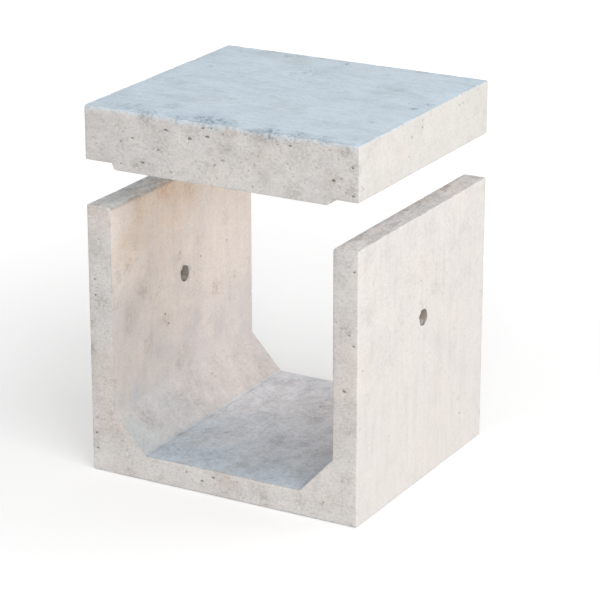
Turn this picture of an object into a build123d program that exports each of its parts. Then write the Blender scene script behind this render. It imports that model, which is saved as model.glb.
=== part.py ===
from build123d import *
import os

# Two-piece precast concrete box culvert, in millimetres.
# X runs across the waterway, Y along the flow, Z up. The origin is on the ground, under the middle.
# The channel unit stands on the ground and the cover slab hangs clear above its walls.

# Waterway: the clear space that the culvert is sold by
CLEAR_SPAN = 450
CLEAR_HEIGHT = 450
UNIT_LENGTH = 500

# Channel unit
WALL_THICKNESS = 50
FLOOR_THICKNESS = 50
HAUNCH_RUN = 65
HAUNCH_RISE = 70
WALL_TOP_INNER_RADIUS = 10
CHANNEL_ARRIS_RADIUS = 4
HAUNCH_EDGE_RADIUS = 6

# Lifting holes, one through each wall at mid-length
LIFTING_HOLE_RADIUS = 15
LIFTING_HOLE_HEIGHT = 315

# Cover slab, with a shallow tongue below it that drops between the walls
SLAB_THICKNESS = 102
TONGUE_DEPTH = 12
TONGUE_SIDE_CLEARANCE = 5
TONGUE_SIDE_TAPER = 6
TONGUE_ROOT_RADIUS = 2
SLAB_ARRIS_RADIUS = 4
COVER_RISE = 82

# Worked out from the sizes above
OUTER_WIDTH = CLEAR_SPAN + 2 * WALL_THICKNESS
WALL_TOP = FLOOR_THICKNESS + CLEAR_HEIGHT + TONGUE_DEPTH
HALF_SPAN = CLEAR_SPAN / 2
HALF_WIDTH = OUTER_WIDTH / 2
HALF_LENGTH = UNIT_LENGTH / 2
COVER_UNDERSIDE = WALL_TOP + COVER_RISE
TONGUE_ROOT_HALF = HALF_SPAN - TONGUE_SIDE_CLEARANCE
TONGUE_TIP_HALF = TONGUE_ROOT_HALF - TONGUE_SIDE_TAPER

# The profiles are drawn on the front end and run back from it along Y
FRONT_END = Plane.XZ.offset(HALF_LENGTH)
NEARLY_SAME = 0.01


def symmetric_face(right_half):
    """A flat face from the right half of its outline, which starts and ends on the middle line."""
    left_half = [(-across, up) for across, up in reversed(right_half) if across > 0]
    return make_face(Polyline(*right_half, *left_half, close=True))


def rounded(face, across, up, radius):
    """The face with its corners at this place, left and right of the middle, rounded off."""
    corners = ShapeList()
    for corner in face.vertices():
        if abs(abs(corner.X) - across) < NEARLY_SAME and abs(corner.Y - up) < NEARLY_SAME:
            corners.append(corner)
    return fillet(corners, radius)


def run_back(face):
    """The solid that the profile makes over the length of the unit."""
    return extrude(FRONT_END * face, amount=-UNIT_LENGTH)


def channel_profile():
    """The U of the channel: floor, two walls and a sloping haunch in each lower corner."""
    haunch_foot = HALF_SPAN - HAUNCH_RUN
    haunch_top = FLOOR_THICKNESS + HAUNCH_RISE
    right_half = [
        (0, 0),
        (HALF_WIDTH, 0),
        (HALF_WIDTH, WALL_TOP),
        (HALF_SPAN, WALL_TOP),
        (HALF_SPAN, haunch_top),
        (haunch_foot, FLOOR_THICKNESS),
        (0, FLOOR_THICKNESS),
    ]
    face = symmetric_face(right_half)
    face = rounded(face, HALF_SPAN, WALL_TOP, WALL_TOP_INNER_RADIUS)
    face = rounded(face, HALF_WIDTH, WALL_TOP, CHANNEL_ARRIS_RADIUS)
    face = rounded(face, HALF_WIDTH, 0, CHANNEL_ARRIS_RADIUS)
    face = rounded(face, HALF_SPAN, haunch_top, HAUNCH_EDGE_RADIUS)
    return rounded(face, haunch_foot, FLOOR_THICKNESS, HAUNCH_EDGE_RADIUS)


def make_channel():
    """One casting: the profile run over the length, with a round lifting hole through each wall."""
    hole_former = Cylinder(LIFTING_HOLE_RADIUS, OUTER_WIDTH, rotation=(0, 90, 0))
    return run_back(channel_profile()) - Pos(0, 0, LIFTING_HOLE_HEIGHT) * hole_former


def cover_profile():
    """The slab with the tapered tongue that keeps it from sliding off the walls."""
    tongue_tip = COVER_UNDERSIDE - TONGUE_DEPTH
    slab_top = COVER_UNDERSIDE + SLAB_THICKNESS
    right_half = [
        (0, tongue_tip),
        (TONGUE_TIP_HALF, tongue_tip),
        (TONGUE_ROOT_HALF, COVER_UNDERSIDE),
        (HALF_WIDTH, COVER_UNDERSIDE),
        (HALF_WIDTH, slab_top),
        (0, slab_top),
    ]
    face = symmetric_face(right_half)
    face = rounded(face, HALF_WIDTH, slab_top, SLAB_ARRIS_RADIUS)
    face = rounded(face, HALF_WIDTH, COVER_UNDERSIDE, SLAB_ARRIS_RADIUS)
    face = rounded(face, TONGUE_TIP_HALF, tongue_tip, SLAB_ARRIS_RADIUS)
    return rounded(face, TONGUE_ROOT_HALF, COVER_UNDERSIDE, TONGUE_ROOT_RADIUS)


def make_cover():
    """One casting: the cover's profile run over the same length as the channel."""
    return run_back(cover_profile())


os.makedirs("parts", exist_ok=True)
export_step(make_channel(), "parts/channel_unit.step")
export_step(make_cover(), "parts/cover_slab.step")
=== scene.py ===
# %% [markdown]
# # A two-piece box culvert
# The real object is two heavy concrete castings. A U-shaped channel unit stands on its bed, and a
# thick cover slab is lowered onto the tops of its walls. The cover hangs clear here, as it does while
# it is being lowered.
# The imported model already holds every size. This lesson gives the two castings the surface that
# concrete has when it leaves its mould: worn arrises, air holes, trowelled and moulded faces, stains.
#
# The first cell loads the imported model.

import math

import bmesh
import bpy
import numpy as np
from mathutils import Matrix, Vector, geometry, noise


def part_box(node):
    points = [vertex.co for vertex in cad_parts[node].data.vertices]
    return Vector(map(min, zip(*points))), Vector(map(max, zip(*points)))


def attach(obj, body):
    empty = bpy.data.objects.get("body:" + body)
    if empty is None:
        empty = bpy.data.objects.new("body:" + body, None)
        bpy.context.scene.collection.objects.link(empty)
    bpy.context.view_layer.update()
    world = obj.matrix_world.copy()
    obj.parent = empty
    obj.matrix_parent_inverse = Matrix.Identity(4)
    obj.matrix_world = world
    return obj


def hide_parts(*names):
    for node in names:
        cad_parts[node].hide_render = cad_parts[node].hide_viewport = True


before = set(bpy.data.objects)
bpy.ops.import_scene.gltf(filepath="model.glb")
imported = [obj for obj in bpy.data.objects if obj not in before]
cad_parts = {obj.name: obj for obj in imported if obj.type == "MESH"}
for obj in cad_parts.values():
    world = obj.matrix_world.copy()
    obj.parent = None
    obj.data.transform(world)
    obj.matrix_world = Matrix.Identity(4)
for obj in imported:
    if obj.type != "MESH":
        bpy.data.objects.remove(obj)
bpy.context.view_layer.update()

# %% [markdown]
# ## Sizes
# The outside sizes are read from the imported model, so that the dressed castings can't drift from it.
# The inside sizes are real ones in millimetres, turned to metres: walls and floor are 50 mm thick, and
# a haunch, the sloping thickening, fills each lower corner.

# %% Sizes of the two castings
MM = 0.001
_, channel_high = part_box("channel_unit")
slab_low, slab_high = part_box("cover_slab")

HALF_WIDTH = channel_high.x
HALF_LENGTH = channel_high.y
WALL_TOP = channel_high.z
SLAB_TOP = slab_high.z
TONGUE_TIP = slab_low.z

WALL_THICKNESS = 50 * MM
FLOOR_THICKNESS = 50 * MM
HAUNCH_RUN = 65 * MM
HAUNCH_RISE = 70 * MM
HOLE_RADIUS = 15 * MM
HOLE_HEIGHT = 315 * MM
TONGUE_DEPTH = 12 * MM
TONGUE_CLEARANCE = 5 * MM
TONGUE_TAPER = 6 * MM

HALF_SPAN = HALF_WIDTH - WALL_THICKNESS
HAUNCH_FOOT = HALF_SPAN - HAUNCH_RUN
HAUNCH_TOP = FLOOR_THICKNESS + HAUNCH_RISE
SLAB_UNDERSIDE = TONGUE_TIP + TONGUE_DEPTH
TONGUE_ROOT_HALF = HALF_SPAN - TONGUE_CLEARANCE
TONGUE_TIP_HALF = TONGUE_ROOT_HALF - TONGUE_TAPER
slab_thickness = SLAB_TOP - SLAB_UNDERSIDE
print("clear span", round(2 * HALF_SPAN / MM), "mm, slab", round(slab_thickness / MM), "mm thick")

# %% [markdown]
# ## The profile of a casting
# Both castings have one profile from end to end, because the mould is a straight trough. A profile is
# a list of corners, each with the radius that its arris has. It could be drawn as a curve with a bevel,
# but here the points are worked out, because every point also has to know which way the surface
# faces: the wear that comes later pushes each point straight inwards.
# `outline` walks once round the corners, rounds them, and divides the flats into short steps.

# %% Walk round a profile
ARC_STEPS = 4
LONGEST_STEP = 4.5 * MM
ARRIS = 4 * MM


def outline(corners):
    """The points round a profile, the way each faces, if it is on an arc, and how exposed it is."""
    rows = []
    for number, (across, up, radius) in enumerate(corners):
        here = Vector((across, up))
        before = Vector(corners[number - 1][:2])
        *after, next_radius = corners[(number + 1) % len(corners)]
        after = Vector(after)
        way_in = (here - before).normalized()
        way_out = (after - here).normalized()
        faces_in = Vector((way_in.y, -way_in.x))
        faces_out = Vector((way_out.y, -way_out.x))
        bulge = 1 if way_in.x * way_out.y > way_in.y * way_out.x else -1
        centre = here - bulge * radius * (faces_in + faces_out) / (1 + faces_in.dot(faces_out))
        for step in range(ARC_STEPS + 1):
            way = faces_in.slerp(faces_out, step / ARC_STEPS)
            edge = max(0, bulge) * math.sin(math.pi * step / ARC_STEPS)
            rows.append((centre + bulge * radius * way, way, True, edge))
        rest = (after - rows[-1][0]).length - next_radius
        rows += [(None, faces_out, False, 0.0)] * (max(2, math.ceil(rest / LONGEST_STEP)) - 1)
    points, facing, on_arc, exposed = zip(*rows)
    return spread_flats(list(points)), np.array(facing), np.array(on_arc), np.array(exposed)


def spread_flats(points):
    """Fills each run of missing points evenly between the two that it lies between."""
    count = len(points)
    known = [number for number in range(count) if points[number] is not None]
    for start, end in zip(known, known[1:] + [known[0] + count]):
        for number in range(start + 1, end):
            points[number] = points[start].lerp(points[end % count], (number - start) / (end - start))
    return np.array(points)


square = [(0, 0, ARRIS), (1, 0, ARRIS), (1, 1, ARRIS), (0, 1, ARRIS)]
print("points round a square of a metre:", len(outline(square)[0]))

# %% [markdown]
# ## The corners of both castings
# The channel is a U with a haunch in each lower corner, and the inner edge of each wall head is rounder
# than the rest, so that the cover's tongue finds its way in. The cover is a slab with that tongue below
# it, a little narrower at its tip. Both are symmetric, so only the right half is listed.

# %% Corners of the profiles
def both_halves(right_half):
    """The corners of a symmetric profile, from those of its right half in the order of the walk."""
    left_half = [(-across, up, radius) for across, up, radius in reversed(right_half)]
    return left_half[-1:] + right_half + left_half[:-1]


WALL_HEAD_ARRIS = 10 * MM
HAUNCH_ARRIS = 6 * MM
TONGUE_ROOT_ARRIS = 2 * MM
CHANNEL_CORNERS = both_halves([
    (HALF_WIDTH, 0, ARRIS),
    (HALF_WIDTH, WALL_TOP, ARRIS),
    (HALF_SPAN, WALL_TOP, WALL_HEAD_ARRIS),
    (HALF_SPAN, HAUNCH_TOP, HAUNCH_ARRIS),
    (HAUNCH_FOOT, FLOOR_THICKNESS, HAUNCH_ARRIS),
])
COVER_CORNERS = both_halves([
    (TONGUE_TIP_HALF, TONGUE_TIP, ARRIS),
    (TONGUE_ROOT_HALF, SLAB_UNDERSIDE, TONGUE_ROOT_ARRIS),
    (HALF_WIDTH, SLAB_UNDERSIDE, ARRIS),
    (HALF_WIDTH, SLAB_TOP, ARRIS),
])
channel_profile = outline(CHANNEL_CORNERS)
cover_profile = outline(COVER_CORNERS)
print("profile points:", len(channel_profile[0]), "and", len(cover_profile[0]))

# %% [markdown]
# ## Air holes
# Air is trapped against the mould when concrete is poured, and leaves small round pits with steep
# walls. A bump map could fake them, but a real pit throws a real shadow from every side. Each pit is a
# few rings of points, slightly out of round, with a depth for every ring. The concrete sinks a little
# while it sets, so most of them are squashed, and lie wider than they are high.

# %% Points of one air hole
RING_SIZES = (1.3, 1.0, 0.82, 0.5)
RING_DEPTHS = (0.0, 0.15, 0.75, 0.95)
RING_POINTS = 12
WIDER, LOWER = 1.3, 0.78
OVAL, LUMPY = 0.12, 0.1
SHALLOWEST, DEEPEST = 0.5, 1.1
PIT_REACH = 2.1


def pit_points(pit, squash, chance):
    """Rings of (u, v, depth, hollow, exposed) for a pit at (u, v) with this radius."""
    u, v, radius = pit
    depth = radius * chance.uniform(SHALLOWEST, DEEPEST)
    oval, lump = chance.uniform(0, 2 * math.pi, 2)
    rows = [(u, v, depth, 1.0, 0.0)]
    for size, share in zip(RING_SIZES, RING_DEPTHS):
        for number in range(RING_POINTS):
            angle = 2 * math.pi * number / RING_POINTS
            wobble = 1 + OVAL * math.cos(2 * angle + oval) + LUMPY * math.cos(3 * angle + lump)
            across = u + radius * size * wobble * squash[0] * math.cos(angle)
            along = v + radius * size * wobble * squash[1] * math.sin(angle)
            rows.append((across, along, depth * share, share, 0.0))
    return rows


print("points in one air hole:", 1 + len(RING_SIZES) * RING_POINTS)

# %% [markdown]
# ## Flattening a surface
# The skin that runs round the profile can be unrolled flat, and so can each end face. On the flat, a
# Delaunay triangulation joins any set of points with neat triangles. So the points may be dense at an
# air hole or an arris and sparse on a plain wall, which keeps the mesh light.

# %% Join points on the flat
WELD = 0.02 * MM


def pits_apart(pits, gap):
    """The pits with those left out that would run into an earlier one."""
    kept = []
    for u, v, radius in pits:
        if all(math.hypot(u - a, v - b) > PIT_REACH * (radius + r) + gap for a, b, r in kept):
            kept.append((u, v, radius))
    return kept


def clear_of_pits(points, pits):
    """The rows of points that no pit reaches."""
    keep = np.ones(len(points), bool)
    for u, v, radius in pits:
        keep &= np.hypot(points[:, 0] - u, points[:, 1] - v) > PIT_REACH * radius
    return points[keep]


def joined(points, loop=None):
    """Triangles over the points, inside the loop if one is given, and the points in their order."""
    flat = [Vector(point[:2]) for point in points]
    faces = [loop] if loop else []
    result = geometry.delaunay_2d_cdt(flat, [], faces, 1 if loop else 0, WELD / 10)
    order = [source[0] for source in result[3]]
    return points[order], result[2]


print("points closer than", round(WELD / MM, 2), "mm become one")

# %% [markdown]
# ## Gathering a casting
# A casting is put together from four kinds of patch: the skin, the two end faces, the rounded rims
# between them, and the walls of the lifting holes. Neighbouring patches share the places of their edge
# points, so that one weld at the end closes the whole surface.

# %% A casting as a pile of patches
class Casting:
    """Surface points with the way each faces, how deep it is sunk, how hollow and how exposed it is."""

    def __init__(self, profile, pits, holes=()):
        self.points, self.facing, self.on_arc, self.exposed = profile
        gaps = np.linalg.norm(np.roll(self.points, -1, 0) - self.points, axis=1)
        self.run = np.concatenate([[0], np.cumsum(gaps)])
        self.skin_pits, self.end_pits = pits
        self.holes = holes
        self.places, self.ways, self.extra, self.faces = [], [], [], []
        self.count = 0

    def add(self, places, ways, extra, faces):
        """Adds a patch, with its faces counted on from the points that are there."""
        self.places.append(np.array(places, float))
        self.ways.append(np.array(ways, float))
        self.extra.append(np.array(extra, float))
        self.faces += [[corner + self.count for corner in face] for face in faces]
        self.count += len(places)

    def add_rings(self, rings, ways, exposed):
        """Adds a tube of quads between rings that have the same number of points."""
        size = len(rings[0])
        extra = np.zeros((size * len(rings), 3))
        extra[:, 2] = np.repeat(exposed, size)
        faces = []
        for ring in range(len(rings) - 1):
            for number in range(size):
                after = (number + 1) % size
                low, high = ring * size, (ring + 1) * size
                faces.append((low + number, low + after, high + after, high + number))
        self.add(np.concatenate(rings), np.concatenate(ways), extra, faces)

    def run_at(self, across, up):
        """How far along the profile the point nearest to this one lies."""
        nearest = np.argmin(np.hypot(self.points[:, 0] - across, self.points[:, 1] - up))
        step = self.points[(nearest + 1) % len(self.points)] - self.points[nearest]
        share = np.dot((across, up) - self.points[nearest], step) / np.dot(step, step)
        return self.run[nearest] + share * np.linalg.norm(step)


print("round the channel's profile:", round(Casting(channel_profile, ((), ())).run[-1], 2), "m")

# %% [markdown]
# ## The skin
# The skin is unrolled to a long strip, with the distance round the profile one way and the length of
# the unit the other. Arris points stand close together in straight lines along the strip, and flats
# get a loose grid that is jogged a little, so that no row of triangles shows.

# %% Points of the flat skin
RIM = 3 * MM
ALONG_ARRIS = 4 * MM
FLAT_GRID = 9 * MM
MOUTH = 0.6 * MM
MOUTH_POINTS = 40
MOUTH_ANGLES = 2 * math.pi * np.arange(MOUTH_POINTS) / MOUTH_POINTS
JOG = 0.28
SKIN_GAP = 1 * MM
STRAIGHT_HALF = HALF_LENGTH - RIM


def jogged_grid(low, high, spacing, chance):
    """A grid of points in a box, each moved a little at random."""
    columns = np.arange(low[0] + spacing / 2, high[0], spacing)
    rows = np.arange(low[1] + spacing / 2, high[1], spacing)
    grid = np.stack(np.meshgrid(columns, rows), -1).reshape(-1, 2)
    return grid + chance.uniform(-JOG, JOG, grid.shape) * spacing


def as_rows(points, exposed=0.0):
    """Flat points as rows of (u, v, depth, hollow, exposed)."""
    rows = np.zeros((len(points), 5))
    rows[:, :2] = points
    rows[:, 4] = exposed
    return rows


def skin_points(casting, mouths, chance):
    """Rows for the flat skin, and the number of air holes: arris lines, a loose grid, mouths and pits."""
    run = casting.run
    arris_runs = np.append(run[:-1][casting.on_arc], run[-1])
    steps = round(2 * STRAIGHT_HALF / ALONG_ARRIS)
    stations = np.linspace(-STRAIGHT_HALF, STRAIGHT_HALF, steps + 1)
    lines = np.stack(np.meshgrid(arris_runs, stations), -1).reshape(-1, 2)
    line_exposed = np.tile(np.append(casting.exposed[casting.on_arc], casting.exposed[0]), len(stations))
    edges = [(u, end) for end in (-STRAIGHT_HALF, STRAIGHT_HALF) for u in run[:-1][~casting.on_arc]]
    grid = jogged_grid((0, -STRAIGHT_HALF), (run[-1], STRAIGHT_HALF), FLAT_GRID, chance)
    to_arris = np.abs(grid[:, :1] - arris_runs).min(1)
    to_end = STRAIGHT_HALF - np.abs(grid[:, 1])
    grid = grid[(to_arris > FLAT_GRID / 2) & (to_end > FLAT_GRID / 2)]
    pits = [(casting.run_at(across, up), y, radius) for across, y, up, radius in casting.skin_pits]
    pits = [pit for pit in pits if abs(pit[1]) < STRAIGHT_HALF - 3 * pit[2]]
    pits = [pit for pit in pits if np.abs(arris_runs - pit[0]).min() > 2 * pit[2] + SKIN_GAP]
    pits = pits_apart(mouths + pits, SKIN_GAP)[len(mouths):]
    rings = []
    for u, v, radius in mouths:
        grid = grid[np.hypot(grid[:, 0] - u, grid[:, 1] - v) > radius + FLAT_GRID / 3]
        ring = np.stack([u + radius * np.sin(MOUTH_ANGLES), v + radius * np.cos(MOUTH_ANGLES)], 1)
        rings.append(as_rows(ring))
    plain = np.concatenate([edges, clear_of_pits(grid, pits)])
    pit_rows = [np.array(pit_points(pit, (LOWER, WIDER), chance)) for pit in pits]
    return np.concatenate([as_rows(lines, line_exposed), as_rows(plain), *rings, *pit_rows]), len(pits)


print("straight part of a casting:", round(2 * STRAIGHT_HALF / MM), "mm of", round(2 * HALF_LENGTH / MM))

# %% [markdown]
# ## Folding the skin round the casting
# The flat skin is triangulated and then rolled up again: each point's distance round the profile gives
# its place and the way it faces. Triangles that would close the mouth of a lifting hole are left out.

# %% Fold the skin
JUST_OUTSIDE = 1.001


def add_skin(casting, chance):
    """Adds the skin between the two rims, open at the mouths of the lifting holes."""
    mouths = [(casting.run_at(*hole), 0.0, HOLE_RADIUS + MOUTH) for hole in casting.holes]
    rows, pit_count = skin_points(casting, mouths, chance)
    points, faces = joined(rows)
    corners = points[np.array(faces)]
    solid = np.ones(len(faces), bool)
    for u, v, radius in mouths:
        away = np.hypot(corners[:, :, 0] - u, corners[:, :, 1] - v)
        solid &= (away > radius * JUST_OUTSIDE).any(1)
    across, up, way_across, way_up = (
        np.interp(points[:, 0], casting.run, np.append(values, values[0]))
        for values in (*casting.points.T, *casting.facing.T)
    )
    places = np.stack([across, points[:, 1], up], 1)
    ways = np.stack([way_across, np.zeros(len(points)), way_up], 1)
    casting.add(places, ways, points[:, 2:], [face for face, whole in zip(faces, solid) if whole])
    return pit_count


print("points round the mouth of a lifting hole:", MOUTH_POINTS)

# %% [markdown]
# ## Rims and end faces
# At each end the skin turns into the end face over a small worn radius. The rim does that in steps:
# the profile shrinks by the radius while it moves out to the end. The end face is then filled inside
# the last ring, with its own air holes.

# %% Make the rims and the end faces
RIM_STEPS = 3
END_GRID = 8 * MM
END_GAP = 0.5 * MM


def add_rim(casting, end):
    """Adds the rounded rim at one end, -1 front or 1 back, and gives its last ring."""
    rings, ways, exposed = [], [], []
    for step in range(RIM_STEPS + 1):
        turn = math.pi / 2 * step / RIM_STEPS
        exposed.append(math.sin(2 * turn))
        shrunk = casting.points - casting.facing * RIM * (1 - math.cos(turn))
        y = np.full(len(shrunk), end * (STRAIGHT_HALF + RIM * math.sin(turn)))
        rings.append(np.stack([shrunk[:, 0], y, shrunk[:, 1]], 1))
        way = casting.facing * math.cos(turn)
        ways.append(np.stack([way[:, 0], np.full(len(way), end * math.sin(turn)), way[:, 1]], 1))
    casting.add_rings(rings, ways, exposed)
    return rings[-1][:, (0, 2)]


def inside(points, loop):
    """Which of the points lie inside the closed loop, by counting the sides that each ray crosses."""
    result = np.zeros(len(points), bool)
    for start, end in zip(loop, np.roll(loop, -1, 0)):
        spans = (start[1] > points[:, 1]) != (end[1] > points[:, 1])
        if spans.any():
            at = start[0] + (points[:, 1] - start[1]) * (end[0] - start[0]) / (end[1] - start[1])
            result ^= spans & (points[:, 0] < at)
    return result


def add_end(casting, end, chance):
    """Adds one end face with its air holes."""
    loop = add_rim(casting, end)
    pits = []
    for side, across, up, radius in casting.end_pits:
        to_edge = np.hypot(loop[:, 0] - across, loop[:, 1] - up).min()
        if side == end and to_edge - PIT_REACH * radius > END_GAP:
            pits.append((across, up, radius))
    pits = pits_apart(pits, END_GAP)
    grid = jogged_grid(loop.min(0), loop.max(0), END_GRID, chance)
    grid = grid[inside(grid, loop)]
    to_loop = np.array([np.hypot(*(loop - point).T).min() for point in grid])
    grid = clear_of_pits(grid[to_loop > END_GRID / 2], pits)
    rows = [as_rows(loop), as_rows(grid)]
    pits = [pit for pit in pits if inside(np.array([pit[:2]]), loop)[0]]
    rows += [np.array(pit_points(pit, (WIDER, LOWER), chance)) for pit in pits]
    points, faces = joined(np.concatenate(rows), list(range(len(loop))))
    flat_y = np.full(len(points), end * HALF_LENGTH)
    places = np.stack([points[:, 0], flat_y, points[:, 1]], 1)
    ways = np.tile((0.0, end, 0.0), (len(points), 1))
    casting.add(places, ways, points[:, 2:], faces)
    return len(pits)


print("an end face is", round(2 * (HALF_WIDTH - RIM) / MM), "mm wide inside its rim")

# %% [markdown]
# ## Lifting holes
# Each wall has a round hole through it, cast round a plug in the mould. Its mouths break a little when
# the plug is pulled, so they are rounded. A boolean cut would leave sharp edges, and long thin
# triangles round them, so the hole is a tube of rings that shares its edge points with the skin.

# %% Make the wall of a lifting hole
HOLE_STEPS = 8


def add_hole(casting, side):
    """Adds the wall of the lifting hole on one side, -1 left or 1 right, with rounded mouths."""
    around = np.stack([np.zeros(MOUTH_POINTS), np.cos(MOUTH_ANGLES), np.sin(MOUTH_ANGLES)], 1)
    middle = side * (HALF_WIDTH - WALL_THICKNESS / 2)
    stations = []
    for step in range(RIM_STEPS + 1):
        turn = math.pi / 2 * step / RIM_STEPS
        out = WALL_THICKNESS / 2 - MOUTH * (1 - math.cos(turn))
        stations.append((out, MOUTH * (1 - math.sin(turn)), turn))
    straight = WALL_THICKNESS / 2 - MOUTH
    for step in range(1, HOLE_STEPS // 2 + 1):
        stations.append((straight * (1 - 2 * step / HOLE_STEPS), 0.0, math.pi / 2))
    stations += [(-out, wider, math.pi - turn) for out, wider, turn in reversed(stations[:-1])]
    rings, ways = [], []
    for out, wider, turn in stations:
        ring = around * (HOLE_RADIUS + wider) + (middle + out, 0, HOLE_HEIGHT)
        way = -around * math.sin(turn) + (math.cos(turn), 0, 0)
        rings.append(ring)
        ways.append(way)
    casting.add_rings(rings, ways, [0.0] * len(rings))


print("lifting holes:", round(2 * HOLE_RADIUS / MM), "mm across")

# %% [markdown]
# ## Wear
# No cast face is truly flat. Moulded faces are within a fraction of a millimetre, and the trowelled
# ones, the top of the cover and of the walls, are a little wavier. Arrises lose small nibbles of paste
# in handling. All of this only ever takes material away, so each point is pushed inwards, against the
# way it faces, and the casting stays inside its real outer size.

# %% Noise, steps and bites
NOISE_GAIN = 0.62
BITE_STRETCH = (0.7, 1.3)
BITE_BLUNTNESS = 0.7


def soft_step(value, low, high):
    """0 below low, 1 above high and a smooth rise between them."""
    share = np.clip((value - low) / (high - low), 0, 1)
    return share * share * (3 - 2 * share)


def field(places, scale, seed):
    """Smooth noise from 0 to 1 at each place, with this many waves in a metre."""
    shift = Vector((seed * 7.3, seed * 3.1, seed * 5.7))
    values = [noise.noise(Vector(place) * scale + shift) for place in places]
    return np.clip(0.5 + NOISE_GAIN * np.array(values), 0, 1)


def nibble(places, ways, centre, way, radius, depth, chance):
    """Takes a shallow bite out of the surface round one point of an arris."""
    reach = np.linalg.norm((places - centre) * chance.uniform(*BITE_STRETCH, 3), axis=1) / radius
    bite = np.clip(1 - reach, 0, 1) ** BITE_BLUNTNESS
    places -= bite[:, None] * depth * way
    return bite


print("halfway along a soft step:", float(soft_step(0.5, 0, 1)))

# %% [markdown]
# ## Wearing the whole casting
# First come the waves, deeper where the trowel went. The edges of the top droop a little, where the trowel
# ran off them. Nibbles sit on arrises only, and not near the foot, which is seldom knocked. Last come the
# chips that are listed.

# %% Wear a casting down
MOULDED_WAVES = (0.35 * MM, 0.4, 9, 60, 1)
TROWELLED_WAVES = (1.1 * MM, 0.35, 16, 70, 3)
DROOP = 2.6 * MM
DROOP_WIDTH = 16 * MM
DROOP_NOISE = (28, 5)
NIBBLE_FREE = 20 * MM
NIBBLE_SIZES = (2.5 * MM, 7 * MM)
NIBBLE_DEPTH = 0.2
LOOKS_UP = (0.5, 0.95)
TWO_WAYS, WELL_EXPOSED = 0.35, 0.6


def wavy(places, depth, ripple, broad, fine, seed):
    """Broad waves of this depth and a share of finer ripple on them, each so many to the metre."""
    return depth * field(places, broad, seed) + ripple * depth * field(places, fine, seed + 1)


def worn(casting, nibbles, chips, chance):
    """The places of a casting's points after wear, and how far each lies in a nibble."""
    places = np.concatenate(casting.places)
    ways = np.concatenate(casting.ways)
    extra = np.concatenate(casting.extra)
    trowelled = soft_step(ways[:, 2], *LOOKS_UP)
    wave = wavy(places, *MOULDED_WAVES) + trowelled * wavy(places, *TROWELLED_WAVES)
    top = places[:, 2].max()
    to_edge = np.minimum(HALF_LENGTH - np.abs(places[:, 1]), HALF_WIDTH - np.abs(places[:, 0]))
    near_edge = 1 - soft_step(to_edge, 0, DROOP_WIDTH)
    at_top = soft_step(places[:, 2], top - 1 * MM, top)
    wave += DROOP * near_edge * at_top * ways[:, 2].clip(0) * field(places, *DROOP_NOISE)
    lengths = np.linalg.norm(ways, axis=1, keepdims=True)
    ways = ways / lengths
    places = places - ways * (wave + extra[:, 0])[:, None]
    bitten = np.zeros(len(places))
    corner = np.sort(np.abs(ways), 1)[:, 1] > TWO_WAYS
    corner &= (extra[:, 2] > WELL_EXPOSED) & (places[:, 2] > places[:, 2].min() + NIBBLE_FREE)
    for number in chance.choice(np.where(corner)[0], nibbles):
        radius = chance.uniform(*NIBBLE_SIZES)
        centre = places[number].copy()
        bite = nibble(places, ways, centre, ways[number], radius, radius * NIBBLE_DEPTH, chance)
        bitten = np.maximum(bitten, bite)
    for centre, way, radius, depth in chips:
        bite = nibble(places, ways, np.array(centre), np.array(way), radius, depth, chance)
        bitten = np.maximum(bitten, bite)
    return places, extra[:, 1], extra[:, 2], bitten


print("waves:", *(round(kind[0] / MM, 2) for kind in (MOULDED_WAVES, TROWELLED_WAVES)), "mm deep")

# %% [markdown]
# ## From points to a mesh
# The patches become one mesh and are welded. Three values go along with every point for the finish to read
# later: how hollow it is, which darkens the bottom of an air hole as painted shade, how exposed it is, which
# is highest on an arris, and how bitten it is.

# %% Weld a casting and name it
def welded(name, casting, worn_places):
    """The Blender object for a casting."""
    places, hollow, exposed, bitten = worn_places
    mesh = bpy.data.meshes.new(name)
    mesh.from_pydata(places.tolist(), [], casting.faces)
    for label, values in (("hollow", hollow), ("exposed", exposed), ("bitten", bitten)):
        layer = mesh.attributes.new(label, "FLOAT", "POINT")
        layer.data.foreach_set("value", values.astype(np.float32))
    shape = bmesh.new()
    shape.from_mesh(mesh)
    bmesh.ops.remove_doubles(shape, verts=shape.verts, dist=WELD)
    bmesh.ops.recalc_face_normals(shape, faces=shape.faces)
    bmesh.ops.triangulate(shape, faces=shape.faces)
    open_edges = sum(1 for edge in shape.edges if not edge.is_manifold)
    for face in shape.faces:
        face.smooth = True
    shape.to_mesh(mesh)
    litres = round(shape.calc_volume() * 1e3, 2)
    print(name, len(shape.faces), "triangles,", open_edges, "open edges,", litres, "litres")
    shape.free()
    piece = bpy.data.objects.new(name, mesh)
    bpy.context.scene.collection.objects.link(piece)
    return piece
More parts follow.
